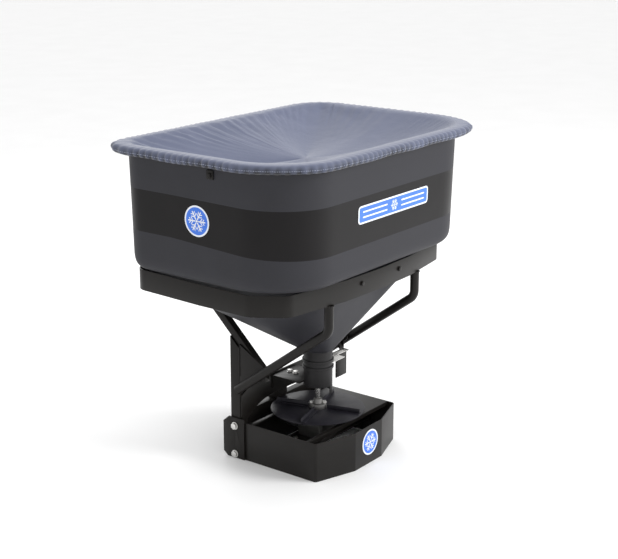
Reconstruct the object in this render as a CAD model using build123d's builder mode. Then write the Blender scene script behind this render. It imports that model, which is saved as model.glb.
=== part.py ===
"""Tailgate salt spreader: poly hopper with fabric cover in a steel frame, a slide gate,
and a spinner disc driven by a gear motor inside a three-sided shroud.
Frame: mm, +Z up, origin below the middle of the hopper on the floor, +Y towards the truck."""
from build123d import *
from math import cos, sin, radians, hypot
import os

os.makedirs("parts", exist_ok=True)

# spinner and drive, about the spinner axis
spinner_y = -52.0          # spinner axis, rearward of the hopper's middle
disc_r = 152.4             # 12 inch disc
disc_z = 141.0             # underside of the disc
disc_t = 3.0
hub_r = 28.0
shaft_r = 8.0
shaft_fit = 0.05           # running clearance of the shaft in its bearing

# side frames
frame_half = 217.0         # outer face of the legs and of the shroud
leg = 38.0                 # square leg tube
leg_wall = 3.0
leg_y = 113.0              # middle of the legs
strut = 25.0               # square strut tube
tube_r = 14.3              # bent round tube
tube_y = -263.5            # upright part of the bent tube
bend_z = 503.0             # where the two centre lines of the tube meet
tube_slope = 0.743         # fall of the sloping part per unit of Y
tube_bend = 38.0           # centre line radius of the bend
plate_t = 5.0
gusset_t = 6.0
foot_bolt_z = (14.0, 110.0)
foot_bolt_r = 5.0
foot_bolt_clear = 0.2      # play of a foot bolt in its hole

# shroud
shroud_h = 127.0
shroud_corner_y = -205.5
shroud_rear_y = -253.7
shroud_flat = 73.0         # half width of the rear facet
sheet = 3.0
deck_y0, deck_y1 = -180.0, 57.0          # deck between the two rails
rail = 14.0                # width of each rail
rail_drop = 14.0           # depth of a rail with its fold
deck_edge = 30.0           # open to the left of this

# hopper
band_z0, band_z1 = 587.0, 652.0
band_half = 455.0
band_rear, band_truck = -288.0, 316.0
rim_z = 1040.0
rim_half, rim_depth = 490.0, 326.0       # wall at the rim, half sizes
tub_half, tub_depth = 482.0, 320.0       # wall at the bottom of the tub, half sizes
tub_z = 702.0
wall = 6.0
flange = 28.0              # width of the rim flange
flange_t = 8.0
rear_r, truck_r = 190.0, 85.0            # plan radii of the tub corners
funnel_half = 405.0
funnel_depth = 248.0
neck_r = 49.0
neck_z = 345.0

# outlet and slide gate
chute_r = neck_r - 2.0     # seats under the ring of the funnel's neck
chute_wall = 3.0
chute_z0 = 225.0
gate_z = 298.8
gate_t = 2.4
gate_clear = 0.7           # play between the gate and its slit

# neck bracket
bracket_half = 62.0
bracket_top = 241.0
bracket_t = 5.0

# drive under the disc
motor_plate_z = 50.0       # underside of the motor plate
motor_plate_t = 5.0
gearbox_half = 48.0
gearbox_top = 104.0
boss_top = 112.0           # top of the gearbox's bearing boss
motor_z = 84.0             # axis of the motor, and the foot of the shaft
motor_r = 27.0
motor_len = 64.0
shaft_top = 452.0

# cover
cover_t = 3.0
cover_gap = 0.5
hem_drop = 26.0
hem_out = 4.0

# drawbar, 2 inch square with a hole for a 5/8 inch pin
bar = 50.8
bar_wall = 6.0
bar_z = 121.0
beam_half = 25.0           # half height of the cross beam
beam_wall = 3.0
post_wall = 5.0
disc_clear = 5.6           # gap between the disc's rim and the cross beam
pin_hole_r = 8.3
bar_end_y = 288.0


def save(part, name):
    part.label = name
    export_step(part, f"parts/{name}.step")


def plan(z, half, y0, y1, r_rear, r_truck):
    """Rounded rectangle at height z between y0 and y1, larger corners on the rear side."""
    with BuildSketch(Plane.XY.offset(z)) as outline:
        with Locations((0, (y0 + y1) / 2)):
            Rectangle(2 * half, y1 - y0)
        fillet(outline.vertices().sort_by(Axis.Y)[:2], r_rear)
        fillet(outline.vertices().sort_by(Axis.Y)[-2:], r_truck)
    return outline.sketch


def hopper_levels(inset):
    """Half width, rear, truck side, corner radii and height of each hopper section."""
    i = inset
    d0, d1 = -tub_depth, rim_depth - 2
    rows = [
        (rim_half - i, -rim_depth + i, rim_depth - i, rear_r - i, truck_r - i, rim_z),
        (tub_half - i, d0 + i, d1 - i, rear_r - i, truck_r - i, tub_z),
        (tub_half - 5 - i, d0 + 6 + i, d1 - 4 - i, rear_r - 3 - i, truck_r - 4 - i, tub_z - 24),
        (tub_half - 17 - i, d0 + 24 + i, d1 - 12 - i, rear_r - 6 - i, truck_r - 10 - i, tub_z - 39),
        (tub_half - 38 - i, d0 + 62 + i, d1 - 24 - i, rear_r - 8 - i, truck_r - 18 - i, band_z1),
        (funnel_half - i, -funnel_depth + i, funnel_depth - i, funnel_depth - 5 - i,
         truck_r - 18 - i, band_z0 + 3),
        (neck_r - i, spinner_y - neck_r + i, spinner_y + neck_r - i, neck_r - 1 - i,
         neck_r - 1 - i, neck_z),
    ]
    return rows


def wall_x(z):
    """Half width of the tub's outer wall at height z."""
    return tub_half + (rim_half - tub_half) * (z - tub_z) / (rim_z - tub_z)


def loft_levels(rows):
    for upper, lower in zip(rows[:-1], rows[1:]):
        loft([plan(row[5], *row[:5]).face() for row in (upper, lower)])


def tube_z(y):
    """Height of the sloping tube's centre line."""
    return bend_z - tube_slope * (y - tube_y)


strut_top = (300.0, band_z0)
strut_slope = 0.96
strut_low_y = -4.0


def strut_z(y):
    """Height of the strut's centre line."""
    return strut_top[1] - strut_slope * (strut_top[0] - y)


def box(x0, x1, y0, y1, z0, z1, mode=Mode.ADD):
    with Locations(((x0 + x1) / 2, (y0 + y1) / 2, (z0 + z1) / 2)):
        Box(abs(x1 - x0), abs(y1 - y0), z1 - z0, mode=mode)


def yz_plate(points, x0, x1):
    """Flat plate with the given Y, Z outline between two X planes."""
    with BuildSketch(Plane.YZ.offset(min(x0, x1))) as outline:
        with BuildLine():
            Polyline(*points, close=True)
        make_face()
    extrude(outline.sketch, amount=abs(x1 - x0))


# ---- hopper -------------------------------------------------------------------------
with BuildPart() as hopper_tub:
    with BuildPart(mode=Mode.PRIVATE) as outer:
        loft_levels(hopper_levels(0))
    with BuildPart(mode=Mode.PRIVATE) as inner:
        loft_levels(hopper_levels(wall))
    add(outer.part)
    # rolled rim flange standing out from the top of the wall
    f = flange
    ring = plan(rim_z - flange_t, rim_half + f, -rim_depth - f, rim_depth + f, rear_r + f, truck_r + f)
    extrude(ring, amount=flange_t)
    add(inner.part, mode=Mode.SUBTRACT)
save(hopper_tub.part, "hopper_tub")


def band_outline(inset):
    """Faceted plan of the steel band, rear facets bulging slightly."""
    i = inset
    pts = [(-band_half - 9 + i, 36), (-band_half - 9 + i, -150), (-400 + 0.4 * i, -246 + i),
           (-172, -282 + i), (0, band_rear + i), (172, -282 + i), (400 - 0.4 * i, -246 + i),
           (band_half + 9 - i, -150), (band_half + 9 - i, 36), (band_half - 7 - i, band_truck - i),
           (-band_half + 7 + i, band_truck - i)]
    with BuildSketch(Plane.XY.offset(band_z0)) as outline:
        with BuildLine():
            Polyline(*pts, close=True)
        make_face()
        fillet([v for v in outline.vertices() if abs(v.X) > band_half + 8 - i and v.Y < -100], 60 - i)
        fillet([v for v in outline.vertices() if 370 < abs(v.X) < 403 and v.Y < -200], 50)
        fillet([v for v in outline.vertices() if v.Y > band_truck - i - 1], 50 - i)
    return outline.sketch


with BuildPart() as hopper_band:
    extrude(band_outline(0), amount=band_z1 - band_z0)
    extrude(band_outline(sheet), amount=band_z1 - band_z0, mode=Mode.SUBTRACT)
    # lip folded inwards under the band
    extrude(band_outline(0.5), amount=sheet)
    extrude(band_outline(30), amount=sheet, mode=Mode.SUBTRACT)
save(hopper_band.part, "hopper_band")

# ---- side frames ---------------------------------------------------------------------
leg_front = leg_y - leg / 2              # face towards the spinner
leg_back = leg_y + leg / 2
strut_drop = strut / 2 * hypot(1, strut_slope)

for side, tag in ((-1, "left"), (1, "right")):
    out = side * frame_half

    with BuildPart() as leg_part:
        top_front = strut_z(leg_front) - strut_drop
        top_back = strut_z(leg_back) - strut_drop
        yz_plate([(leg_front, 6), (leg_back, 6), (leg_back, top_back), (leg_front, top_front)],
                 out, out - side * leg)
        box(out - side * leg_wall, out - side * (leg - leg_wall), leg_front + leg_wall,
            leg_back - leg_wall, 5, 520, mode=Mode.SUBTRACT)
    save(leg_part.part, f"leg_{tag}")

    # strut, inside the gusset, from the band's truck side down to the sloping tube
    with BuildPart() as strut_part:
        xo = out - side * gusset_t
        y1 = strut_top[0]
        d = strut_drop
        yl = strut_low_y
        yz_plate([(y1 - d / strut_slope, band_z0), (y1 + d / strut_slope, band_z0),
                  (yl, strut_z(yl) - d), (yl, strut_z(yl) + d)], xo, xo - side * strut)
        with BuildSketch(Plane.YZ.offset(xo - side * strut / 2 - strut / 2 + 2.5)):
            e = d - 3.5
            with BuildLine():
                Polyline((y1 + 60, strut_z(y1 + 60) - e), (y1 + 60, strut_z(y1 + 60) + e),
                         (yl - 5, strut_z(yl - 5) + e), (yl - 5, strut_z(yl - 5) - e), close=True)
            make_face()
        extrude(amount=strut - 5, mode=Mode.SUBTRACT)
    save(strut_part.part, f"strut_{tag}")

    # bent tube, upright under the band and sloping down to the leg
    with BuildPart() as tube_part:
        tx = out + side * tube_r
        end_y = leg_front - 2
        with BuildLine() as run:
            FilletPolyline((tx, tube_y, band_z0), (tx, tube_y, bend_z),
                           (tx, end_y, tube_z(end_y)), radius=tube_bend)
        with BuildSketch(Plane((tx, tube_y, band_z0), x_dir=(1, 0, 0), z_dir=(0, 0, -1))):
            Circle(tube_r)
            Circle(tube_r - 2.5, mode=Mode.SUBTRACT)
        sweep()
    save(tube_part.part, f"bent_tube_{tag}")

    # corner gusset tying tube, strut and leg together
    with BuildPart() as gusset_part:
        yz_plate([(-16, tube_z(-16) - 8), (-16, tube_z(-16) + 6), (leg_front, tube_z(leg_front) + 150),
                  (leg_front, tube_z(leg_front) - 14)], out, out - side * gusset_t)
    save(gusset_part.part, f"gusset_{tag}")

    # foot plate outside the leg and the end of the shroud, corners clipped
    with BuildPart() as foot_part:
        xo = out + side * plate_t
        yz_plate([(75, 0), (144, 0), (161, 14), (161, 118), (138, 138), (75, 138)], out, xo)
        for zb in foot_bolt_z:
            with BuildSketch(Plane.YZ.offset(min(out, xo) - 1)):
                with Locations((leg_y, zb)):
                    Circle(foot_bolt_r + foot_bolt_clear)
            extrude(amount=plate_t + 2, mode=Mode.SUBTRACT)
    save(foot_part.part, f"foot_plate_{tag}")

# ---- back plate with its arch, and neck bracket ------------------------------------------
back_y = leg_front                       # rear face of the legs carries both back plates
arch_spring, arch_top, back_top = 112.0, 176.0, 246.0
with BuildPart() as back_plate:
    w = frame_half - sheet
    with BuildSketch(Plane.XZ.offset(-back_y)):
        with BuildLine():
            Line((-w, arch_spring), (-w + 10, arch_spring))
            rise = arch_top - arch_spring
            Spline((-w + 10, arch_spring), (-w + 40, arch_spring + 0.4 * rise),
                   (-w + 65, arch_spring + 0.64 * rise), (-w + 114, arch_top - 6), (0, arch_top),
                   (w - 114, arch_top - 6), (w - 65, arch_spring + 0.64 * rise),
                   (w - 40, arch_spring + 0.4 * rise), (w - 10, arch_spring))
            Line((w - 10, arch_spring), (w, arch_spring))
            Polyline((w, arch_spring), (w, back_top - 31), (w - 64, back_top), (64 - w, back_top),
                     (-w, back_top - 31), (-w, arch_spring))
        make_face()
    extrude(amount=plate_t)
save(back_plate.part, "back_plate")

with BuildPart() as shroud_back:
    w = frame_half - sheet
    box(-w, w, back_y - sheet, back_y, 0, 105)
    box(-w, w, back_y - 20, back_y, 105, 105 + sheet)
save(shroud_back.part, "shroud_back")

with BuildPart() as neck_bracket:
    w, low = bracket_half, bracket_top - bracket_t
    box(-w, w, spinner_y + 28, back_y - plate_t, low, bracket_top)
    box(-w, w, back_y - plate_t - 4, back_y - plate_t, low - 40, low)
    with Locations((0, spinner_y, low + 2)):
        Cylinder(chute_r, 20, mode=Mode.SUBTRACT)
save(neck_bracket.part, "neck_bracket")

# ---- shroud ------------------------------------------------------------------------------


def shroud_outline(z, inset, end):
    w, f = frame_half - inset, shroud_flat - inset * 0.3
    with BuildSketch(Plane.XY.offset(z)) as outline:
        with BuildLine():
            Polyline((-w, end), (-w, shroud_corner_y + inset * 0.6), (-f, shroud_rear_y + inset),
                     (f, shroud_rear_y + inset), (w, shroud_corner_y + inset * 0.6), (w, end),
                     close=True)
        make_face()
        fillet([v for v in outline.vertices() if v.Y < 0], 12 - inset)
    return outline.sketch


with BuildPart() as shroud:
    extrude(shroud_outline(0, 0, back_y), amount=shroud_h)
    extrude(shroud_outline(0, sheet, back_y + 5), amount=shroud_h, mode=Mode.SUBTRACT)
save(shroud.part, "shroud")

# deck level with the top of the shroud: a rail along each edge, and a plate beside the disc
with BuildPart() as shroud_deck:
    w = frame_half - sheet
    box(-w, w, deck_y0, deck_y1, shroud_h - sheet, shroud_h)
    box(-w, deck_edge, deck_y0 + rail, deck_y1 - rail, shroud_h - sheet, shroud_h, mode=Mode.SUBTRACT)
    # rails folded down at their outer edges
    box(-w, w, deck_y0, deck_y0 + sheet, shroud_h - rail_drop, shroud_h - sheet)
    box(-w, w, deck_y1 - sheet, deck_y1, shroud_h - rail_drop, shroud_h - sheet)
save(shroud_deck.part, "shroud_deck")

# ---- drive ----------------------------------------------------------------------------------
with BuildPart() as motor_plate:
    w = frame_half - sheet
    y0, y1 = spinner_y - 60, spinner_y + 60
    box(-w, w, y0, y1, motor_plate_z, motor_plate_z + motor_plate_t)
    for s in (-1, 1):
        box(s * (w - motor_plate_t), s * w, y0, y1, motor_plate_z - 30, motor_plate_z)
save(motor_plate.part, "motor_plate")

with BuildPart() as gearbox:
    g = gearbox_half
    box(-g, g, spinner_y - g, spinner_y + g, motor_plate_z + motor_plate_t, gearbox_top)
    fillet(edges().filter_by(Axis.Z), 10)
    with Locations((0, spinner_y, (gearbox_top + boss_top) / 2)):
        Cylinder(26, boss_top - gearbox_top)
    with Locations((0, spinner_y, boss_top - 10)):
        Cylinder(shaft_r + shaft_fit, 40, mode=Mode.SUBTRACT)
save(gearbox.part, "gearbox")

with BuildPart() as drive_motor:
    with BuildSketch(Plane.XZ.offset(-(spinner_y + gearbox_half))):
        with Locations((0, motor_z)):
            Circle(motor_r)
    extrude(amount=-motor_len)
save(drive_motor.part, "drive_motor")

with BuildPart() as drive_shaft:
    with Locations((0, spinner_y, (motor_z + shaft_top) / 2)):
        Cylinder(shaft_r, shaft_top - motor_z)
save(drive_shaft.part, "drive_shaft")

with BuildPart() as spinner_hub:
    with Locations((0, spinner_y, disc_z - 8)):
        Cylinder(20, 16)
    with Locations((0, spinner_y, disc_z + disc_t + 8)):
        Cylinder(hub_r, 16)
    with Locations((0, spinner_y, disc_z + 26)):
        Cylinder(14, 16)
    with Locations((0, spinner_y, disc_z)):
        Cylinder(shaft_r, 140, mode=Mode.SUBTRACT)
    # seat for the disc between the upper and lower halves
    with Locations((0, spinner_y, disc_z + disc_t / 2)):
        Cylinder(60, disc_t, mode=Mode.SUBTRACT)
        Cylinder(shaft_r + 4, disc_t)
        Cylinder(shaft_r, disc_t, mode=Mode.SUBTRACT)
save(spinner_hub.part, "spinner_hub")

with BuildPart() as spinner_disc:
    with Locations((0, spinner_y, disc_z + disc_t / 2)):
        Cylinder(disc_r, disc_t)
        Cylinder(shaft_r + 4, disc_t, mode=Mode.SUBTRACT)
save(spinner_disc.part, "spinner_disc")

paddle_h = 14.0
with BuildPart() as spinner_paddles:
    for a in (15, 105, 195, 285):
        with Locations(Location((0, spinner_y, disc_z + disc_t), (0, 0, a))):
            with Locations((hub_r + 60, 0, paddle_h / 2)):
                Box(112, 3, paddle_h)
            with Locations((hub_r + 60, 7, 1.5)):
                Box(112, 14, 3)
save(spinner_paddles.part, "spinner_paddles")

with BuildPart() as agitator:
    for z, r in ((374, 38), (412, 62), (440, 80)):
        with Locations((0, spinner_y, z)):
            Cylinder(shaft_r + 6, 16)
        turn = z * 1.7
        with Locations(Location((0, spinner_y, z), (0, 0, turn))):
            Cylinder(4, 2 * r, rotation=(90, 0, 0))
    with Locations((0, spinner_y, 400)):
        Cylinder(shaft_r, 120, mode=Mode.SUBTRACT)
save(agitator.part, "agitator")

# ---- outlet and slide gate -------------------------------------------------------------------
with BuildPart() as outlet_chute:
    with Locations((0, spinner_y, (chute_z0 + neck_z) / 2)):
        Cylinder(chute_r, neck_z - chute_z0)
    # lip carried lower on the side the salt leaves
    with Locations((0, spinner_y, chute_z0 - 14)):
        Cylinder(chute_r, 28)
    with Locations((0, spinner_y, 280)):
        Cylinder(chute_r - chute_wall, 200, mode=Mode.SUBTRACT)
    with Locations(Location((0, spinner_y, chute_z0 - 20), (0, 0, -30))):
        with Locations((-26, 0, 0)):
            Box(100, 120, 40, mode=Mode.SUBTRACT)
    slit = chute_r - chute_wall
    box(0, chute_r + 23, spinner_y - slit, spinner_y + slit, gate_z - gate_clear,
        gate_z + gate_t + gate_clear, mode=Mode.SUBTRACT)
save(outlet_chute.part, "outlet_chute")

for tag, z0 in (("upper", 306.0), ("lower", 284.0)):
    with BuildPart() as collar:
        with Locations((0, spinner_y, z0 + 4)):
            Cylinder(chute_r + 4, 8)
            Cylinder(chute_r, 8, mode=Mode.SUBTRACT)
    save(collar.part, f"collar_{tag}")

gate_reach = 155.0
with BuildPart() as slide_gate:
    with BuildSketch(Plane.XY.offset(gate_z)):
        with Locations((0, spinner_y)):
            Circle(chute_r - chute_wall - 0.8)
        with Locations((44, spinner_y)):
            Rectangle(88, 2 * (chute_r - chute_wall - 0.8))
        with Locations(((88 + gate_reach) / 2 - 2, spinner_y)):
            Rectangle(gate_reach - 84, 24)
        # slot that lets the gate slide past the shaft
        with Locations((-30, spinner_y)):
            Rectangle(84, 2 * shaft_r + 4, mode=Mode.SUBTRACT)
    extrude(amount=gate_t)
save(slide_gate.part, "slide_gate")

with BuildPart() as gate_handle:
    box(98, gate_reach, spinner_y - 2, spinner_y + 2, 215, gate_z)
    box(98, gate_reach, spinner_y - 10, spinner_y + 10, gate_z - 3, gate_z)
save(gate_handle.part, "gate_handle")

# ---- hitch -----------------------------------------------------------------------------------
with BuildPart() as hitch_beam:
    w = frame_half - leg
    beam_front = spinner_y + disc_r + disc_clear
    box(-w, w, beam_front, leg_back, bar_z - beam_half, bar_z + beam_half)
    k = beam_half - beam_wall
    box(-w - 1, w + 1, beam_front + beam_wall, leg_back - beam_wall, bar_z - k, bar_z + k,
        mode=Mode.SUBTRACT)
save(hitch_beam.part, "hitch_beam")

with BuildPart() as hitch_post:
    h = bar / 2
    post_z0, post_z1, k = bar_z + beam_half, back_top - 10, h - post_wall
    box(-h, h, leg_front, leg_back, post_z0, post_z1)
    box(-k, k, leg_front + post_wall, leg_back - post_wall, post_z0 - 1, post_z1 + 1,
        mode=Mode.SUBTRACT)
save(hitch_post.part, "hitch_post")

with BuildPart() as drawbar:
    h = bar / 2
    box(-h, h, leg_back, bar_end_y, bar_z - h, bar_z + h)
    k = h - bar_wall
    box(-k, k, leg_back + 6, bar_end_y + 5, bar_z - k, bar_z + k, mode=Mode.SUBTRACT)
    with BuildSketch(Plane.YZ.offset(-h - 1)):
        with Locations((bar_end_y - 32, bar_z)):
            Circle(pin_hole_r)
    extrude(amount=bar + 2, mode=Mode.SUBTRACT)
save(drawbar.part, "drawbar")

# ---- cover -------------------------------------------------------------------------------------
cover_z = rim_z + cover_gap
cover_g = flange + hem_out
with BuildPart() as hopper_cover:
    g = cover_g
    extrude(plan(cover_z, rim_half + g, -rim_depth - g, rim_depth + g, rear_r + g, truck_r + g),
            amount=cover_t)
    fillet(hopper_cover.faces().sort_by(Axis.Z)[-1].edges(), 0.6 * cover_t)
save(hopper_cover.part, "hopper_cover")

# elastic hem, hanging round the outside of the flange
with BuildPart() as cover_hem:
    hem_z = rim_z - hem_drop
    for g, mode in ((cover_g, Mode.ADD), (cover_g - cover_t, Mode.SUBTRACT)):
        extrude(plan(hem_z, rim_half + g, -rim_depth - g, rim_depth + g, rear_r + g, truck_r + g),
                amount=cover_z - hem_z, mode=mode)
save(cover_hem.part, "cover_hem")

hook_y = -40.0
hook_z = rim_z - 62
with BuildPart() as cover_hooks:
    for s in (-1, 1):
        x = s * wall_x(hook_z + 11)
        box(x, x + s * 5, hook_y - 12, hook_y + 12, hook_z, hook_z + 26)
        box(x + s * 5, x + s * 10, hook_y - 6, hook_y + 6, hook_z + 6, hook_z + 18)
    add(outer.part, mode=Mode.SUBTRACT)
save(cover_hooks.part, "cover_hooks")


# ---- marks --------------------------------------------------------------------------------------
badge_z = 848.0
with BuildPart() as side_badge:
    for s in (-1, 1):
        with BuildSketch(Plane.YZ.offset(wall_x(badge_z) * s - 20)):
            with Locations((18, badge_z)):
                Circle(46)
        extrude(amount=40)
    with BuildPart(mode=Mode.PRIVATE) as skin:
        with BuildPart(mode=Mode.PRIVATE) as core:
            loft_levels(hopper_levels(0))
        loft_levels(hopper_levels(-0.8))
        add(core.part, mode=Mode.SUBTRACT)
    add(skin.part, mode=Mode.INTERSECT)
save(side_badge.part, "side_badge")

with BuildPart() as rear_badge:
    with BuildSketch(Plane.XZ.offset(rim_depth + 10)):
        with Locations((14, 852)):
            RectangleRounded(372, 54, 12)
    extrude(amount=-40)
    add(skin.part, mode=Mode.INTERSECT)
save(rear_badge.part, "rear_badge")

with BuildPart() as shroud_badge:
    with BuildSketch(Plane.XZ.offset(-shroud_rear_y)):
        with Locations((7, 72)):
            Circle(42)
    extrude(amount=0.8)
save(shroud_badge.part, "shroud_badge")


# ---- fasteners ------------------------------------------------------------------------------------
with BuildPart() as foot_bolts:
    for s in (-1, 1):
        for zb in foot_bolt_z:
            face = Plane((s * (frame_half + plate_t), leg_y, zb), x_dir=(0, 1, 0), z_dir=(s, 0, 0))
            with BuildSketch(face):
                RegularPolygon(9.5, 6, major_radius=False)
            extrude(amount=8)
            with BuildSketch(face):
                Circle(foot_bolt_r)
            extrude(amount=-plate_t)
save(foot_bolts.part, "foot_bolts")

with BuildPart() as band_bolts:
    for x in (-94.0, 107.0):
        y = band_rear + 6 * abs(x) / 172
        with BuildSketch(Plane.XZ.offset(-y - 0.6)):
            with Locations((x, 626)):
                RegularPolygon(6.5, 6, major_radius=False)
        extrude(amount=6)
    add(hopper_band.part, mode=Mode.SUBTRACT)
save(band_bolts.part, "band_bolts")

with BuildPart() as hub_bolts:
    for a in (-52.5, 127.5):
        ca, sa = cos(radians(a)), sin(radians(a))
        with BuildSketch(Plane.XY.offset(disc_z + disc_t + 16)):
            with Locations((21 * ca, spinner_y + 21 * sa)):
                RegularPolygon(6, 6, major_radius=False)
        extrude(amount=6)
save(hub_bolts.part, "hub_bolts")

with BuildPart() as bracket_bolts:
    for y in (38.0, 62.0):
        with BuildSketch(Plane.XY.offset(bracket_top)):
            with Locations((0, y)):
                RegularPolygon(8, 6, major_radius=False)
        extrude(amount=6)
save(bracket_bolts.part, "bracket_bolts")

with BuildPart() as motor_bolts:
    for x in (-80.0, 80.0):
        for y in (spinner_y - 30, spinner_y + 30):
            with BuildSketch(Plane.XY.offset(motor_plate_z + motor_plate_t)):
                with Locations((x, y)):
                    RegularPolygon(6.5, 6, major_radius=False)
            extrude(amount=5)
save(motor_bolts.part, "motor_bolts")
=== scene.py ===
import math
import bmesh
import bpy
from mathutils import Matrix, Vector, noise


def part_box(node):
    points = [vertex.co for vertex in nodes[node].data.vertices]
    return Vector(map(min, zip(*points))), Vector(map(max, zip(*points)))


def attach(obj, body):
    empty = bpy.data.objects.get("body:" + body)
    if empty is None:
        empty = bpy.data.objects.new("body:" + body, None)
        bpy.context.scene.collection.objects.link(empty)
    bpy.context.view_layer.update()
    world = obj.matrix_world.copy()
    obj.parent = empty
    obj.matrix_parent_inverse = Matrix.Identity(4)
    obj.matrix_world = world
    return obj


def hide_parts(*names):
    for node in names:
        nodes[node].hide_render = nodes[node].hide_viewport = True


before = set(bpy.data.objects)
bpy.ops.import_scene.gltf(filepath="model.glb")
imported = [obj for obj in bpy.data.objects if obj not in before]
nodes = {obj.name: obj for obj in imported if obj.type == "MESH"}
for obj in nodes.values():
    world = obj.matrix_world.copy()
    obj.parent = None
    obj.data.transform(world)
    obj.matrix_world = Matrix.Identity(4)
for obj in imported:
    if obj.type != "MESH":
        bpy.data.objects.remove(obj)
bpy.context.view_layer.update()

spinnerY = -0.052            # spinner axis, rearward of the hopper's middle
print("frame loaded:", len(nodes), "parts")


# camera, lights and floor

cameraSettings = {
    "place": (-3.2216, -2.4470, 1.7544),
    "tilt": 73.9,
    "turn": -52.7,
    "lens": 77.34,
    "shift": (0.0092, -0.0107),
}

cameraData = bpy.data.cameras.new("camera")
cameraData.lens = cameraSettings["lens"]
cameraData.sensor_width = 36
cameraData.shift_x, cameraData.shift_y = cameraSettings["shift"]
cameraData.clip_end = 150
cameraObject = bpy.data.objects.new("camera", cameraData)
cameraObject.location = cameraSettings["place"]
cameraObject.rotation_euler = (math.radians(cameraSettings["tilt"]), 0, math.radians(cameraSettings["turn"]))
bpy.context.scene.collection.objects.link(cameraObject)
bpy.context.scene.camera = cameraObject
bpy.context.scene.view_settings.view_transform = "Standard"


# an sRGB hex colour as the linear values that the shaders work in
def linear(code):
    parts = [int(code[i:i + 2], 16) / 255 for i in (1, 3, 5)]
    return tuple(c / 12.92 if c <= 0.04045 else ((c + 0.055) / 1.055) ** 2.4 for c in parts) + (1.0,)


# adds one node: what it is set to, its socket values, and where its sockets read from
def addNode(tree, kind, settings=None, values=None, links=None):
    made = tree.nodes.new(kind)
    for key, value in (settings or {}).items():
        setattr(made, key, value)
    for key, value in (values or {}).items():
        made.inputs[key].default_value = value
    for key, source in (links or {}).items():
        tree.links.new(source, made.inputs[key])
    return made


def startMaterial(name):
    material = bpy.data.materials.new(name)
    material.use_nodes = True
    tree = material.node_tree
    tree.nodes.clear()
    shader = addNode(tree, "ShaderNodeBsdfPrincipled")
    addNode(tree, "ShaderNodeOutputMaterial", links={"Surface": shader.outputs[0]})
    place = addNode(tree, "ShaderNodeTexCoord").outputs["Object"]
    return material, tree, shader, place


# a finish that drifts between two tones with a pattern, and its roughness too where a range is given
def mottle(tree, shader, pattern, dark, light, rough=None):
    tone = addNode(tree, "ShaderNodeMix", {"data_type": "RGBA"}, {6: linear(dark), 7: linear(light)},
                   {0: pattern.outputs[0]})
    tree.links.new(tone.outputs[2], shader.inputs["Base Color"])
    if rough:
        wear = addNode(tree, "ShaderNodeMapRange", values={"To Min": rough[0], "To Max": rough[1]},
                       links={"Value": pattern.outputs[0]})
        tree.links.new(wear.outputs[0], shader.inputs["Roughness"])


lightSettings = {
    "key": {"place": (2.0, -4.0, 2.6), "aim": (0.0, 0.0, 0.6), "size": 2.2, "power": 165},
    "fill": {"place": (-4.0, -1.4, 2.6), "aim": (0.0, 0.0, 0.6), "size": 3.0, "power": 8},
    "top": {"place": (0.4, 0.2, 4.2), "aim": (0.0, 0.0, 0.9), "size": 2.6, "power": 30},
    "back": {"place": (2.6, 3.4, 2.4), "aim": (0.0, 0.0, 0.6), "size": 2.4, "power": 36},
}

for lightName, how in lightSettings.items():
    lamp = bpy.data.lights.new(lightName, "AREA")
    lamp.shape = "DISK"
    lamp.size = how["size"]
    lamp.energy = how["power"]
    lampObject = bpy.data.objects.new(lightName, lamp)
    lampObject.location = how["place"]
    towards = Vector(how["aim"]) - Vector(how["place"])
    lampObject.rotation_euler = towards.to_track_quat("-Z", "Y").to_euler()
    bpy.context.scene.collection.objects.link(lampObject)

world = bpy.data.worlds.new("studio")
bpy.context.scene.world = world
world.use_nodes = True
world.node_tree.nodes["Background"].inputs["Color"].default_value = linear("#ffffff")
world.node_tree.nodes["Background"].inputs["Strength"].default_value = 1.0

# matt painted studio floor: pale, with no pattern of its own
floorPaint, tree, shader, place = startMaterial("studioFloorPaint")
grain = addNode(tree, "ShaderNodeTexNoise", values={"Scale": 3.0, "Detail": 2.0}, links={"Vector": place})
mottle(tree, shader, grain, "#f4f4f4", "#fafafa")
shader.inputs["Roughness"].default_value = 0.8
floorMesh = bpy.data.meshes.new("floor")
reach = 45.0                 # far enough to fill the camera's view
floorMesh.from_pydata([(x * reach, y * reach, -0.0005) for x, y in ((-1, -1), (1, -1), (1, 1), (-1, 1))], [],
                      [(0, 1, 2, 3)])
floorMesh.materials.append(floorPaint)
floor = bpy.data.objects.new("floor", floorMesh)
bpy.context.scene.collection.objects.link(floor)
print("camera, lights and floor ready")


# materials

# rotomoulded polyethylene: soft broad sheen, faint mould grain, slightly mottled grey
polyGrey, tree, shader, place = startMaterial("rotomouldedPolyethylene")
clouds = addNode(tree, "ShaderNodeTexNoise", values={"Scale": 7.0, "Detail": 5.0, "Roughness": 0.6},
                 links={"Vector": place})
mottle(tree, shader, clouds, "#26262a", "#313136", rough=(0.50, 0.66))
# mould grain of about 2.5 mm, coarser than the real 1 mm so that it shows
mouldGrain = addNode(tree, "ShaderNodeTexNoise", values={"Scale": 1 / 0.0025, "Detail": 2.0},
                     links={"Vector": place})
swell = addNode(tree, "ShaderNodeTexNoise", values={"Scale": 1 / 0.16, "Detail": 1.0},
                links={"Vector": place})
fine = addNode(tree, "ShaderNodeBump", values={"Strength": 0.12, "Distance": 0.0004},
               links={"Height": mouldGrain.outputs[0]})
broad = addNode(tree, "ShaderNodeBump", values={"Strength": 0.18, "Distance": 0.006},
                links={"Height": swell.outputs[0], "Normal": fine.outputs[0]})
tree.links.new(broad.outputs[0], shader.inputs["Normal"])

shader.inputs["Specular IOR Level"].default_value = 0.22

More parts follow.
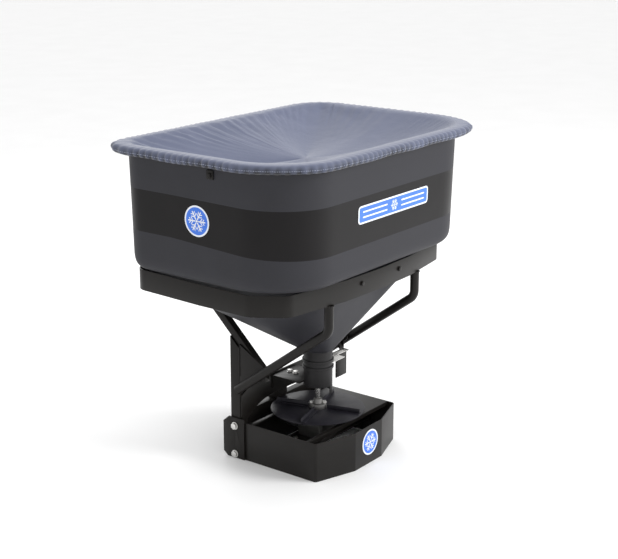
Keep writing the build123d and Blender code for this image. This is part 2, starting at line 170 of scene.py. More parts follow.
# printed vinyl stripe: darker and glossier than the poly it lies on
stripeVinyl, tree, shader, place = startMaterial("printedStripeVinyl")
clouds = addNode(tree, "ShaderNodeTexNoise", values={"Scale": 9.0, "Detail": 4.0}, links={"Vector": place})
mottle(tree, shader, clouds, "#0f0e0f", "#181617", rough=(0.34, 0.46))
swell = addNode(tree, "ShaderNodeTexNoise", values={"Scale": 1 / 0.12, "Detail": 2.0},
                links={"Vector": place})
broad = addNode(tree, "ShaderNodeBump", values={"Strength": 0.15, "Distance": 0.004},
                links={"Height": swell.outputs[0]})
tree.links.new(broad.outputs[0], shader.inputs["Normal"])

shader.inputs["Specular IOR Level"].default_value = 0.16

# powder coated steel: near black, fine orange peel, clear edge highlights
powderBlack, tree, shader, place = startMaterial("powderCoatedSteel")
clouds = addNode(tree, "ShaderNodeTexNoise", values={"Scale": 14.0, "Detail": 6.0, "Roughness": 0.65},
                 links={"Vector": place})
mottle(tree, shader, clouds, "#110f0e", "#1c1a18", rough=(0.30, 0.44))
# orange peel of about 2 mm
peel = addNode(tree, "ShaderNodeTexNoise", values={"Scale": 1 / 0.002, "Detail": 1.0},
               links={"Vector": place})
fine = addNode(tree, "ShaderNodeBump", values={"Strength": 0.10, "Distance": 0.0003},
               links={"Height": peel.outputs[0]})
tree.links.new(fine.outputs[0], shader.inputs["Normal"])

shader.inputs["Specular IOR Level"].default_value = 0.2

# injection moulded black plastic for the outlet: satin, slightly scuffed
chutePoly, tree, shader, place = startMaterial("mouldedBlackPlastic")
clouds = addNode(tree, "ShaderNodeTexNoise", values={"Scale": 25.0, "Detail": 5.0}, links={"Vector": place})
mottle(tree, shader, clouds, "#181718", "#252425", rough=(0.40, 0.58))
fleck = addNode(tree, "ShaderNodeTexNoise", values={"Scale": 1 / 0.0015, "Detail": 2.0},
                links={"Vector": place})
fine = addNode(tree, "ShaderNodeBump", values={"Strength": 0.12, "Distance": 0.0003},
               links={"Height": fleck.outputs[0]})
tree.links.new(fine.outputs[0], shader.inputs["Normal"])

shader.inputs["Specular IOR Level"].default_value = 0.25

# cast polyurethane spinner: blue black, satin, with faint turning rings from its mould
spinnerPoly, tree, shader, place = startMaterial("castPolyurethane")
centred = addNode(tree, "ShaderNodeMapping", values={"Location": (0, -spinnerY, 0)}, links={"Vector": place})
rings = addNode(tree, "ShaderNodeTexWave", {"wave_type": "RINGS", "rings_direction": "Z"},
                {"Scale": 60.0, "Distortion": 1.5, "Detail": 2.0}, {"Vector": centred.outputs[0]})
clouds = addNode(tree, "ShaderNodeTexNoise", values={"Scale": 30.0, "Detail": 5.0}, links={"Vector": place})
mottle(tree, shader, clouds, "#17161b", "#24232a", rough=(0.36, 0.52))
fine = addNode(tree, "ShaderNodeBump", values={"Strength": 0.10, "Distance": 0.0004},
               links={"Height": rings.outputs[0]})
tree.links.new(fine.outputs[0], shader.inputs["Normal"])

shader.inputs["Specular IOR Level"].default_value = 0.25

# zinc plated hardware: bright, softly blurred, a little cloudy
zincPlate, tree, shader, place = startMaterial("zincPlatedSteel")
shader.inputs["Metallic"].default_value = 1.0
clouds = addNode(tree, "ShaderNodeTexNoise", values={"Scale": 120.0, "Detail": 4.0}, links={"Vector": place})
mottle(tree, shader, clouds, "#c3c2c0", "#e2e1de", rough=(0.24, 0.42))

# turned stainless shaft: bright with fine rings around it
shaftSteel, tree, shader, place = startMaterial("turnedStainlessSteel")
shader.inputs["Metallic"].default_value = 1.0
lathe = addNode(tree, "ShaderNodeTexWave", {"bands_direction": "Z"}, {"Scale": 260.0, "Distortion": 0.6},
                {"Vector": place})
mottle(tree, shader, lathe, "#b9b8b6", "#dcdbd8")
shader.inputs["Roughness"].default_value = 0.26
fine = addNode(tree, "ShaderNodeBump", values={"Strength": 0.15, "Distance": 0.0002},
               links={"Height": lathe.outputs[0]})
tree.links.new(fine.outputs[0], shader.inputs["Normal"])

# sand cast aluminium gearbox and hub: dull, pebbled skin
castMetal, tree, shader, place = startMaterial("sandCastAluminium")
shader.inputs["Metallic"].default_value = 1.0
pebble = addNode(tree, "ShaderNodeTexVoronoi", values={"Scale": 1 / 0.0022}, links={"Vector": place})
clouds = addNode(tree, "ShaderNodeTexNoise", values={"Scale": 35.0, "Detail": 5.0}, links={"Vector": place})
mottle(tree, shader, clouds, "#6d6c6b", "#8c8b89")
shader.inputs["Roughness"].default_value = 0.55
fine = addNode(tree, "ShaderNodeBump", values={"Strength": 0.3, "Distance": 0.0004},
               links={"Height": pebble.outputs[0]})
tree.links.new(fine.outputs[0], shader.inputs["Normal"])

# enamelled motor body: smooth dark paint
motorEnamel, tree, shader, place = startMaterial("enamelledMotorCase")
clouds = addNode(tree, "ShaderNodeTexNoise", values={"Scale": 20.0, "Detail": 4.0}, links={"Vector": place})
mottle(tree, shader, clouds, "#1a1b1d", "#26272a", rough=(0.24, 0.36))

# cast vinyl labels: strong blue with a white edge, smooth and slightly glossy
blueVinyl, tree, shader, place = startMaterial("castVinylBlue")
fade = addNode(tree, "ShaderNodeTexNoise", values={"Scale": 16.0, "Detail": 3.0}, links={"Vector": place})
mottle(tree, shader, fade, "#2a5fc4", "#3a78dc")
shader.inputs["Roughness"].default_value = 0.38
whiteVinyl, tree, shader, place = startMaterial("castVinylWhite")
fade = addNode(tree, "ShaderNodeTexNoise", values={"Scale": 16.0, "Detail": 3.0}, links={"Vector": place})
mottle(tree, shader, fade, "#d4d8e0", "#e8ebf0")
shader.inputs["Roughness"].default_value = 0.4

# coated polyester cloth: blue grey, plain weave, a soft sheen at grazing angles
coverCloth, tree, shader, place = startMaterial("wovenPolyesterCloth")
flatMap = addNode(tree, "ShaderNodeUVMap", {"uv_map": "flatCut"}).outputs[0]
clouds = addNode(tree, "ShaderNodeTexNoise", values={"Scale": 6.0, "Detail": 5.0, "Roughness": 0.6},
                 links={"Vector": place})
tone = addNode(tree, "ShaderNodeMix", {"data_type": "RGBA"}, {6: linear("#565d73"), 7: linear("#61677f")},
               {0: clouds.outputs[0]})
# threads drawn 3 mm apart, coarser than the real 0.5 mm so that they show
warp = addNode(tree, "ShaderNodeTexWave", {"bands_direction": "X", "wave_profile": "SIN"},
               {"Scale": 1 / 0.003 / 3.18, "Distortion": 0.4, "Detail": 1.0}, {"Vector": flatMap})
weft = addNode(tree, "ShaderNodeTexWave", {"bands_direction": "Y", "wave_profile": "SIN"},
               {"Scale": 1 / 0.003 / 3.18, "Distortion": 0.4, "Detail": 1.0}, {"Vector": flatMap})
weave = addNode(tree, "ShaderNodeMath", {"operation": "MULTIPLY"},
                links={0: warp.outputs["Fac"], 1: weft.outputs["Fac"]})
shade = addNode(tree, "ShaderNodeMix", {"data_type": "RGBA", "blend_type": "MULTIPLY"},
                {0: 0.16}, {6: tone.outputs[2], 7: weave.outputs[0]})
# painted shade under the rolled rim and in the troughs of the hem's folds, set per point as the cover is
# made
paintedHemShade = addNode(tree, "ShaderNodeAttribute", {"attribute_name": "paintedHemShade"}).outputs["Fac"]
hemShadeMix = addNode(tree, "ShaderNodeMix", {"data_type": "RGBA"}, {7: linear("#1b1b1d")},
                 {0: paintedHemShade, 6: shade.outputs[2]})
tree.links.new(hemShadeMix.outputs[2], shader.inputs["Base Color"])
shader.inputs["Roughness"].default_value = 0.72
shader.inputs["Sheen Weight"].default_value = 0.25
shader.inputs["Sheen Roughness"].default_value = 0.4
crease = addNode(tree, "ShaderNodeTexNoise", values={"Scale": 1 / 0.035, "Detail": 4.0, "Roughness": 0.55},
                 links={"Vector": flatMap})
creaseBump = addNode(tree, "ShaderNodeBump", values={"Strength": 0.35, "Distance": 0.004},
                     links={"Height": crease.outputs[0]})
weaveBump = addNode(tree, "ShaderNodeBump", values={"Strength": 0.25, "Distance": 0.0006},
                    links={"Height": weave.outputs[0], "Normal": creaseBump.outputs[0]})
tree.links.new(weaveBump.outputs[0], shader.inputs["Normal"])

# polyester sewing thread: a little lighter than the cloth, with a fine twist
sewingThread, tree, shader, place = startMaterial("twistedPolyesterThread")
twist = addNode(tree, "ShaderNodeTexNoise", values={"Scale": 1 / 0.001, "Detail": 2.0},
                links={"Vector": place})
mottle(tree, shader, twist, "#8f96ab", "#a6acbe")
shader.inputs["Roughness"].default_value = 0.6
print("materials ready")


# small mesh helpers

def addPiece(name, mesh, body, materials, smoothAngle=None):
    for material in materials:
        mesh.materials.append(material)
    piece = bpy.data.objects.new(name, mesh)
    bpy.context.scene.collection.objects.link(piece)
    if smoothAngle is not None:
        mesh.shade_smooth()
        mesh.set_sharp_from_angle(angle=math.radians(smoothAngle))
    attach(piece, body)
    return piece


# evaluated result of a piece's modifiers as a plain mesh of its own
def plainMesh(piece):
    bpy.context.view_layer.update()
    graph = bpy.context.evaluated_depsgraph_get()
    return bpy.data.meshes.new_from_object(piece.evaluated_get(graph))


# a CAD part with its edges rounded as folded, cut or moulded edges are
def softened(nodeName, body, material, width=0.0008, segments=2, angle=32):
    mesh = nodes[nodeName].data.copy()
    mesh.materials.clear()
    if "custom_normal" in mesh.attributes:
        mesh.attributes.remove(mesh.attributes["custom_normal"])
    shape = bmesh.new()
    shape.from_mesh(mesh)
    bmesh.ops.remove_doubles(shape, verts=shape.verts, dist=0.00002)
    bmesh.ops.dissolve_limit(shape, angle_limit=math.radians(0.6), verts=shape.verts, edges=shape.edges)
    # flat faces cut up evenly and slivers removed, or the bevel leaves faces with no area
    bmesh.ops.triangulate(shape, faces=[f for f in shape.faces if len(f.verts) > 4], ngon_method="BEAUTY")
    bmesh.ops.dissolve_degenerate(shape, dist=0.00002, edges=shape.edges)
    shape.to_mesh(mesh)
    shape.free()
    piece = bpy.data.objects.new(nodeName + "Soft", mesh)
    bpy.context.scene.collection.objects.link(piece)
    bevel = piece.modifiers.new("bevel", "BEVEL")
    bevel.width = width
    bevel.segments = segments
    bevel.limit_method = "ANGLE"
    bevel.angle_limit = math.radians(angle)
    bevel.harden_normals = False
    mesh.shade_smooth()
    finished = plainMesh(piece)
    bpy.data.objects.remove(piece)
    finished.name = nodeName + "Soft"
    made = addPiece(nodeName + "Soft", finished, body, [material], smoothAngle=38)
    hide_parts(nodeName)
    return made


# points of a rounded rectangle in plan, the same count whatever its size
def planRing(half, rear, truck, rearRadius, truckRadius, sidePoints=22, cornerPoints=14):
    corners = [
        (half - truckRadius, truck - truckRadius, truckRadius, 0),
        (-half + truckRadius, truck - truckRadius, truckRadius, 90),
        (-half + rearRadius, rear + rearRadius, rearRadius, 180),
        (half - rearRadius, rear + rearRadius, rearRadius, 270),
    ]
    arcs = []
    for cx, cy, radius, start in corners:
        arcs.append([(cx + radius * math.cos(math.radians(start + 90 * k / cornerPoints)),
                      cy + radius * math.sin(math.radians(start + 90 * k / cornerPoints)))
                     for k in range(cornerPoints + 1)])
    ring = []
    for k, arc in enumerate(arcs):
        ring += arc
        ax, ay = arc[-1]
        bx, by = arcs[(k + 1) % 4][0]
        ring += [(ax + (bx - ax) * j / sidePoints, ay + (by - ay) * j / sidePoints)
                 for j in range(1, sidePoints)]
    return ring


# quads between rings of equal count, each ring joined round
def bridgeRings(rings, closed=False):
    count = len(rings[0])
    faces = []
    last = len(rings) if closed else len(rings) - 1
    for r in range(last):
        a, b = r * count, ((r + 1) % len(rings)) * count
        for k in range(count):
            n = (k + 1) % count
            faces.append((a + k, a + n, b + n, b + k))
    return [p for ring in rings for p in ring], faces


def fixNormals(mesh):
    shape = bmesh.new()
    shape.from_mesh(mesh)
    bmesh.ops.recalc_face_normals(shape, faces=shape.faces)
    shape.to_mesh(mesh)
    shape.free()


# hopper tub

tubSettings = {
    "rim": (0.490, -0.326, 0.326, 0.190, 0.085, 1.040),      # half width, rear, truck side, radii, height
    "wallFoot": (0.482, -0.320, 0.324, 0.190, 0.085, 0.702),
    "shoulder": [(0.477, -0.314, 0.320, 0.187, 0.081, 0.678), (0.465, -0.296, 0.312, 0.184, 0.075, 0.663),
                 (0.444, -0.258, 0.300, 0.182, 0.067, 0.652)],
    "funnelTop": (0.405, -0.248, 0.248, 0.243, 0.067, 0.590),
    "neck": (0.049, -0.101, -0.003, 0.048, 0.048, 0.345),
    "wall": 0.006,
    "flange": 0.028,
    "flangeThick": 0.008,
    "stripe": {"top": (0.912, 0.905), "bottom": (0.784, 0.760)},   # at the sides, at the rear
}


def levelRing(level, offset=0.0, height=None):
    half, rear, truck, rearRadius, truckRadius, z = level
    ring = planRing(half + offset, rear - offset, truck + offset, rearRadius + offset, truckRadius + offset)
    return [(x, y, z if height is None else height) for x, y in ring]


# a point of a smooth curve through four levels, between the middle two
def between(a, b, c, d, t):
    return tuple(0.5 * (2 * q + (r - p) * t + (2 * p - 5 * q + 4 * r - s) * t * t
                        + (3 * q - p - 3 * r + s) * t ** 3) for p, q, r, s in zip(a, b, c, d))


def makeTub():
    s = tubSettings
    rim, foot, funnelTop, neck = s["rim"], s["wallFoot"], s["funnelTop"], s["neck"]

    def wallRing(heightOf, offset=0.0):
        ring = []
        for k, (low, high) in enumerate(zip(levelRing(foot, offset), levelRing(rim, offset))):
            z = heightOf(low[1])
            t = (z - foot[5]) / (rim[5] - foot[5])
            ring.append((low[0] + (high[0] - low[0]) * t, low[1] + (high[1] - low[1]) * t, z))
        return ring

    def edgeHeight(pair):
        side, rear = pair
        return lambda y: side + (rear - side) * min(1.0, max(0.0, (0.12 - y) / 0.44))

    # shoulder levels, smoothed between the wall and the funnel
    wallUp = tuple(f + (r - f) * 0.08 for f, r in zip(foot, rim))
    funnelDown = tuple(f + (n - f) * 0.1 for f, n in zip(funnelTop, neck))
    knots = [wallUp, foot] + s["shoulder"] + [funnelTop, funnelDown]
    shoulder = []
    for k in range(1, len(knots) - 2):
        steps = 4
        shoulder += [between(knots[k - 1], knots[k], knots[k + 1], knots[k + 2], j / steps)
                     for j in range(steps)]
    shoulder.append(funnelTop)
    funnel = [tuple(f + (n - f) * t for f, n in zip(funnelTop, neck))
              for t in (0.12, 0.3, 0.5, 0.7, 0.85, 0.95, 1.0)]

    flange, thick, wall = s["flange"], s["flangeThick"], s["wall"]
    rings = []
    # inside, from the neck up to the rim
    for level in reversed(shoulder + funnel):
        rings.append(levelRing(level, -wall))
    rings.append(wallRing(lambda y: 0.80, -wall))
    rings.append(wallRing(lambda y: 0.92, -wall))
    rings.append(wallRing(lambda y: 1.030, -wall))
    # over the rim and its rolled edge
    rings.append(levelRing(rim, -wall + 0.0012, rim[5] - 0.004))
    rings.append(levelRing(rim, -wall + 0.0045, rim[5] - 0.0006))
    rings.append(levelRing(rim, 0.002, rim[5]))
    rings.append(levelRing(rim, flange * 0.5, rim[5] - 0.0004))
    for k in range(7):
        turn = math.radians(90 - 180 * k / 6)
        rings.append(levelRing(rim, flange - thick / 2 + thick / 2 * math.cos(turn),
                               rim[5] - thick / 2 + thick / 2 * math.sin(turn)))
    rings.append(levelRing(rim, 0.008, rim[5] - thick))
    rings.append(levelRing(rim, 0.003, rim[5] - thick - 0.001))
    rings.append(wallRing(lambda y: rim[5] - thick - 0.006))
    rings.append(wallRing(lambda y: 0.97))
    rings.append(wallRing(edgeHeight(s["stripe"]["top"])))
    stripeRows = len(rings) - 1
    middle = [(a + b) / 2 for a, b in zip(s["stripe"]["top"], s["stripe"]["bottom"])]
    rings.append(wallRing(edgeHeight(middle)))
    rings.append(wallRing(edgeHeight(s["stripe"]["bottom"])))
    rings.append(wallRing(lambda y: 0.722))
    for level in shoulder + funnel:
        rings.append(levelRing(level))
    verts, faces = bridgeRings(rings, closed=True)
    mesh = bpy.data.meshes.new("hopperTub")
    mesh.from_pydata(verts, [], faces)
    count = len(rings[0])
    mesh.materials.append(polyGrey)
    mesh.materials.append(stripeVinyl)
    for face in mesh.polygons:
        if stripeRows <= face.index // count < stripeRows + 2:
            face.material_index = 1
    fixNormals(mesh)
    tub = addPiece("hopperTub", mesh, "frame", [], smoothAngle=50)
    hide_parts("hopper_tub")
    return tub


tub = makeTub()
print("tub made:", len(tub.data.polygons), "faces")


# steel frame, shroud and small parts kept from the CAD shapes

steelSettings = {
    "sheetEdge": 0.0008,
    "tubeCorner": 0.0011,        # under half of the thinnest tube wall
    "plateEdge": 0.0007,
}

for nodeName in ("foot_plate_left", "foot_plate_right", "gusset_left", "gusset_right", "back_plate",
                 "shroud_back", "shroud_deck", "motor_plate", "neck_bracket", "cover_hooks"):
    softened(nodeName, "frame", powderBlack, steelSettings["plateEdge"])
softened("shroud", "frame", powderBlack, steelSettings["sheetEdge"])
softened("hopper_band", "frame", powderBlack, steelSettings["sheetEdge"])
for nodeName in ("leg_left", "leg_right", "strut_left", "strut_right", "hitch_beam", "hitch_post",
                 "drawbar"):
    softened(nodeName, "frame", powderBlack, steelSettings["tubeCorner"], segments=3)
for nodeName in ("bent_tube_left", "bent_tube_right"):
    nodes[nodeName].data.materials.clear()
    nodes[nodeName].data.materials.append(powderBlack)
for nodeName in ("outlet_chute", "collar_upper", "collar_lower"):
    softened(nodeName, "frame", chutePoly, 0.0006)
softened("gearbox", "frame", castMetal, 0.0015, segments=3)
softened("drive_motor", "frame", motorEnamel, 0.002, segments=3)
softened("slide_gate", "gate", shaftSteel, 0.0005)
softened("gate_handle", "gate", powderBlack, 0.0005)
for nodeName in ("spinner_disc", "spinner_paddles"):
    softened(nodeName, "spinner", spinnerPoly, 0.0007)
softened("spinner_hub", "spinner", castMetal, 0.0007)
softened("drive_shaft", "spinner", shaftSteel, 0.0006)
softened("agitator", "spinner", shaftSteel, 0.0006)
print("steel parts softened")


# cover

coverSettings = {
    "flat": (1.150, 0.820),      # size of the cloth before its elastic hem gathers it
    "slack": 0.020,              # how much longer the cloth is than the opening it spans
    "stand": 0.0012,             # gap to the rim under it
    "thick": 0.0010,
    "hemHeight": 1.014,
    "innerRings": 26,
    "frames": 32,
    "gather": 0.024,             # distance between the folds that the elastic pulls in
    "gatherDepth": 0.0068,
    "flare": 0.007,              # how far the folds stand out past the rolled rim
    "cornerPull": 0.010,         # the cloth is cut square, so it stands out more at two corners
    "pullDirection": (0.606, -0.795),
}


def makeCover():
    s, rim = coverSettings, tubSettings["rim"]
    top = rim[5] + s["stand"]
    sidePoints, cornerPoints = 104, 46
    half, rear, truck, rearRadius, truckRadius = rim[:5]

    def ringAt(offset):
        return planRing(half + offset, rear - offset, truck + offset, rearRadius + offset,
                        truckRadius + offset, sidePoints, cornerPoints)

    edge = ringAt(-0.006)
    count = len(edge)
    # outward direction at each point of the rim
    outward = []
    wide = ringAt(0.02)
    for (ax, ay), (bx, by) in zip(edge, wide):
        d = Vector((bx - ax, by - ay))
        outward.append(d.normalized())
    rings, flat, weights, hemShadeAmounts = [], [], [], []
    # from near the centre out to the rim
    for k in range(1, s["innerRings"] + 1):
        t = (k / s["innerRings"]) ** 0.92
        rings.append([(x * t, y * t, top) for x, y in edge])
        flat.append([(x * t, y * t) for x, y in edge])
        weights.append(1.0 if k == s["innerRings"] else 0.0)
        hemShadeAmounts += [0.0] * count
    # across the flange, over its edge, down and in under it
    profile = [(0.010, 0.0), (0.018, -0.0002), (0.0265, -0.0012), (0.0300, -0.0040), (0.0315, -0.0090),
               (0.0318, -0.0150), (0.0300, -0.0205), (0.0255, -0.0245), (0.0190, -0.0262), (0.0130, -0.0255)]
    along = [0.0]
    for (ax, ay), (bx, by) in zip(edge, edge[1:]):
        along.append(along[-1] + math.hypot(bx - ax, by - ay))
    pullDirection = Vector(s["pullDirection"])
    cut = 0.006
    lastOffset, lastDrop = -0.006, 0.0
    for row, (offset, drop) in enumerate(profile):
        cut += math.hypot(offset - lastOffset, drop - lastDrop)
        lastOffset, lastDrop = offset, drop
        share = (row + 1) / len(profile)
        ring, ringFlat = [], []
        for k, (x, y) in enumerate(edge):
            ox, oy = outward[k]
            px, py = x + ox * (offset + 0.006), y + oy * (offset + 0.006)
            spot = Vector((px, py, 0.0))
            fold = math.sin(2 * math.pi * along[k] / s["gather"] + 3.0 * noise.noise(spot * 7))
            gather = 0.65 * fold + 0.5 * noise.noise(spot * 46)
            sway = noise.noise(spot * 9 + Vector((11, 2, 4)))
            pull = abs(outward[k].dot(pullDirection)) ** 8 * s["cornerPull"]
            amount = gather * (0.0003 + s["gatherDepth"] * share ** 1.1)
            amount += (s["flare"] + pull) * min(1.0, share * 2)
            lift = (0.6 * gather + 0.8 * sway) * 0.0042 * share ** 1.6
            ring.append((px + ox * amount, py + oy * amount, top + drop + lift + max(0.0, gather) * 0.0006))
            ringFlat.append((x + ox * cut, y + oy * cut))
            # painted shade: darker where the cloth turns down and under the rim, and in the troughs of the
            # folds
            depth = min(1.0, max(0.0, (share - 0.3) / 0.4))
            hemShadeAmounts.append(min(0.95, max(0.0, depth * (0.62 - 0.5 * gather + 0.5 * sway))))
        rings.append(ring)
        flat.append(ringFlat)
        weights.append(1.0)
    verts, faces = bridgeRings(rings)
    flatPoints = [p for ring in flat for p in ring]
    verts.append((0.0, 0.0, top))
    flatPoints.append((0.0, 0.0))
    middle = len(verts) - 1
    faces += [(middle, k, (k + 1) % count) for k in range(count)]
    mesh = bpy.data.meshes.new("hopperCover")
    mesh.from_pydata(verts, [], faces)
    fixNormals(mesh)
    if sum(f.normal.z for f in mesh.polygons if f.index < count * 10) < 0:
        mesh.flip_normals()
    uv = mesh.uv_layers.new(name="flatCut")
    for loop in mesh.loops:
        uv.data[loop.index].uv = flatPoints[loop.vertex_index]
    # the painted hem shade as a point attribute, read by the cloth material
    paintedHemShade = mesh.attributes.new("paintedHemShade", "FLOAT", "POINT")
    paintedHemShade.data.foreach_set("value", hemShadeAmounts + [0.0])
    cover = bpy.data.objects.new("hopperCover", mesh)
    bpy.context.scene.collection.objects.link(cover)
    held = cover.vertex_groups.new(name="held")
    held.add([i for i in range(len(verts) - 1) if weights[i // count] == 1.0], 1.0, "REPLACE")
    # a start that is not quite flat, so that the folds don't mirror each other
    for vertex in mesh.vertices[: count * (s["innerRings"] - 1)] :
        spot = vertex.co.copy()
        vertex.co.z += 0.004 * noise.noise(spot * 11) - 0.006
    cloth = cover.modifiers.new("cloth", "CLOTH")
    cloth.settings.quality = 5
    cloth.settings.mass = 0.22
    cloth.settings.tension_stiffness = 18
    cloth.settings.compression_stiffness = 8
    cloth.settings.shear_stiffness = 4
    cloth.settings.bending_stiffness = 0.06
    cloth.settings.tension_damping = 12
    cloth.settings.air_damping = 3
    cloth.settings.shrink_min = -s["slack"]
    cloth.settings.vertex_group_mass = "held"
    cloth.collision_settings.use_collision = False
    cloth.collision_settings.use_self_collision = False
    cloth.point_cache.frame_start = 1
    cloth.point_cache.frame_end = s["frames"]
    for number in range(1, s["frames"] + 1):
        bpy.context.scene.frame_set(number)
    settled = plainMesh(cover)
    cover.modifiers.clear()
    points = [v.co.copy() for v in settled.vertices]
    bpy.context.scene.frame_set(1)
    for vertex, point in zip(mesh.vertices, points):
        vertex.co = point
    bpy.data.meshes.remove(settled)
    # folds run in from the gathered edge, deepest on the truck side
    for k, (x, y) in enumerate(edge):
        spot = Vector((x, y, 0.0))
        fold = math.sin(math.pi * along[k] / s["gather"] + 4.0 * noise.noise(spot * 6))
        truckSide = min(1.0, max(0.0, (y + 0.05) / 0.3))
        for r in range(s["innerRings"] - 1):
            vertex = mesh.vertices[r * count + k]
            inwards = math.hypot(x - vertex.co.x, y - vertex.co.y)
            near = math.exp(-inwards / 0.07) * min(1.0, inwards / 0.012)
            spread = noise.noise(vertex.co * 15) + 0.5 * noise.noise(vertex.co * 31)
            vertex.co.z += near * ((0.3 * fold + 0.8 * spread) * (0.0010 + 0.0095 * truckSide))
    low = min(v.co.z for v in mesh.vertices)
    print("cover settled, lowest point", round(low, 4))
    seam = [mesh.vertices[(s["innerRings"] + 5) * count + k].co.copy() for k in range(count)]
    cover.vertex_groups.clear()
    shell = cover.modifiers.new("shell", "SOLIDIFY")
    shell.thickness = s["thick"]
    shell.offset = 0
    mesh.shade_smooth()
    finished = plainMesh(cover)
    bpy.data.objects.remove(cover)
    finished.name = "hopperCover"
    made = addPiece("hopperCover", finished, "cover", [coverCloth])
    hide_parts("hopper_cover", "cover_hem")
    return made, [p + Vector((outward[k].x, outward[k].y, 0)) * 0.0008 for k, p in enumerate(seam)]


cover, hemSeam = makeCover()


# things that repeat along a path: hem stitches and weld beads

def socketOf(tree, name):
    return next(item.identifier for item in tree.interface.items_tree
                if item.item_type == "SOCKET" and item.in_out == "INPUT" and item.name == name)


# a finished mesh grown from a starting mesh by a node tree, with its edges broken if asked
def grownMesh(name, start, tree, inputs, edge=0.0):
    grower = bpy.data.objects.new(name, start)
    bpy.context.scene.collection.objects.link(grower)
    grow = grower.modifiers.new("grow", "NODES")
    grow.node_group = tree
    for key, value in inputs.items():
        grow[socketOf(tree, key)] = value
    if edge:
        bevel = grower.modifiers.new("edge", "BEVEL")
        bevel.width = edge
        bevel.segments = 2
        bevel.limit_method = "ANGLE"
    finished = plainMesh(grower)
    bpy.data.objects.remove(grower)
    finished.name = name
    return finished


def newTree(name, floats):
    tree = bpy.data.node_groups.new(name, "GeometryNodeTree")
    tree.interface.new_socket("Geometry", in_out="INPUT", socket_type="NodeSocketGeometry")
    for label in floats:
        tree.interface.new_socket(label, in_out="INPUT", socket_type="NodeSocketFloat")
    tree.interface.new_socket("Finish", in_out="INPUT", socket_type="NodeSocketMaterial")
    tree.interface.new_socket("Geometry", in_out="OUTPUT", socket_type="NodeSocketGeometry")
    return tree, addNode(tree, "NodeGroupInput")


beadTree, given = newTree("beadsAlongPath", ("Spacing", "Width", "Length", "Uneven"))
path = addNode(beadTree, "GeometryNodeMeshToCurve", links={"Mesh": given.outputs["Geometry"]})
spots = addNode(beadTree, "GeometryNodeCurveToPoints", {"mode": "LENGTH"},
                links={"Curve": path.outputs[0], "Length": given.outputs["Spacing"]})
bead = addNode(beadTree, "GeometryNodeMeshUVSphere", values={"Segments": 8, "Rings": 5, "Radius": 1.0})
girth = addNode(beadTree, "ShaderNodeCombineXYZ",
                links={0: given.outputs["Width"], 1: given.outputs["Width"], 2: given.outputs["Length"]})
shaped = addNode(beadTree, "GeometryNodeTransform",
                 links={"Geometry": bead.outputs[0], "Scale": girth.outputs[0]})
least = addNode(beadTree, "ShaderNodeMath", {"operation": "SUBTRACT"}, {0: 1.0},
                {1: given.outputs["Uneven"]})
most = addNode(beadTree, "ShaderNodeMath", {"operation": "ADD"}, {0: 1.0}, {1: given.outputs["Uneven"]})
vary = addNode(beadTree, "FunctionNodeRandomValue", {"data_type": "FLOAT"}, {8: 4},
               {2: least.outputs[0], 3: most.outputs[0]})
laid = addNode(beadTree, "GeometryNodeInstanceOnPoints",
               links={"Points": spots.outputs["Points"], "Instance": shaped.outputs[0],
                      "Rotation": spots.outputs["Rotation"], "Scale": vary.outputs[1]})
whole = addNode(beadTree, "GeometryNodeRealizeInstances", links={"Geometry": laid.outputs[0]})
coloured = addNode(beadTree, "GeometryNodeSetMaterial",
                   links={"Geometry": whole.outputs[0], "Material": given.outputs["Finish"]})
addNode(beadTree, "NodeGroupOutput", links={"Geometry": coloured.outputs[0]})


# lines as a mesh of loose edges, each line open or closed
def lineMesh(name, lines):
    verts, edges = [], []
    for points, closed in lines:
        first = len(verts)
        verts += [tuple(p) for p in points]
        edges += [(first + k, first + k + 1) for k in range(len(points) - 1)]
        if closed:
            edges.append((len(verts) - 1, first))
    mesh = bpy.data.meshes.new(name)
    mesh.from_pydata(verts, edges, [])
    return mesh


# 7 mm lockstitch, thread drawn thicker than the real 0.4 mm so that it shows
stitchSettings = {"Spacing": 0.007, "Width": 0.0006, "Length": 0.0026, "Uneven": 0.0}
stitchMesh = grownMesh("hemStitches", lineMesh("hemLine", [(hemSeam, True)]), beadTree,
                       {**stitchSettings, "Finish": sewingThread})
addPiece("hemStitches", stitchMesh, "cover", [], smoothAngle=60)

weldSettings = {"Spacing": 0.0026, "Width": 0.0024, "Length": 0.0024, "Uneven": 0.18}
tubeRadius = 0.0143
weldLines = []
for side, tag in ((-1, "left"), (1, "right")):
    tubeLow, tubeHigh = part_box("bent_tube_" + tag)
    legLow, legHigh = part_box("leg_" + tag)
    gussetLow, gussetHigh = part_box("gusset_" + tag)
    beamLow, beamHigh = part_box("hitch_beam")
    cx, cy = (tubeLow[0] + tubeHigh[0]) / 2, tubeLow[1] + tubeRadius
    turns = [2 * math.pi * k / 32 for k in range(32)]
    tubeTop = tubeHigh[2] - 0.001
    ring = [(cx + tubeRadius * math.cos(t), cy + tubeRadius * math.sin(t), tubeTop) for t in turns]
    weldLines.append((ring, True))
    outerX = legLow[0] if side < 0 else legHigh[0]
    innerX = legHigh[0] if side < 0 else legLow[0]
    gussetSeam = [(outerX, legLow[1], gussetLow[2] + 0.06), (outerX, legLow[1], gussetHigh[2] - 0.01)]
    weldLines.append((gussetSeam, False))
    for y in (beamLow[1], beamHigh[1]):
        if legLow[1] <= y <= legHigh[1]:
            weldLines.append(([(innerX, y, beamLow[2]), (innerX, y, beamHigh[2])], False))
barLow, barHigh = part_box("drawbar")
weldLines.append(([(barLow[0], barLow[1], barLow[2]), (barHigh[0], barLow[1], barLow[2]),
                   (barHigh[0], barLow[1], barHigh[2]), (barLow[0], barLow[1], barHigh[2])], True))
weldMesh = grownMesh("weldBeads", lineMesh("weldLines", weldLines), beadTree,
                     {**weldSettings, "Finish": powderBlack})
addPiece("weldBeads", weldMesh, "frame", [], smoothAngle=60)
print("stitches and welds made")


# hex bolts with washers

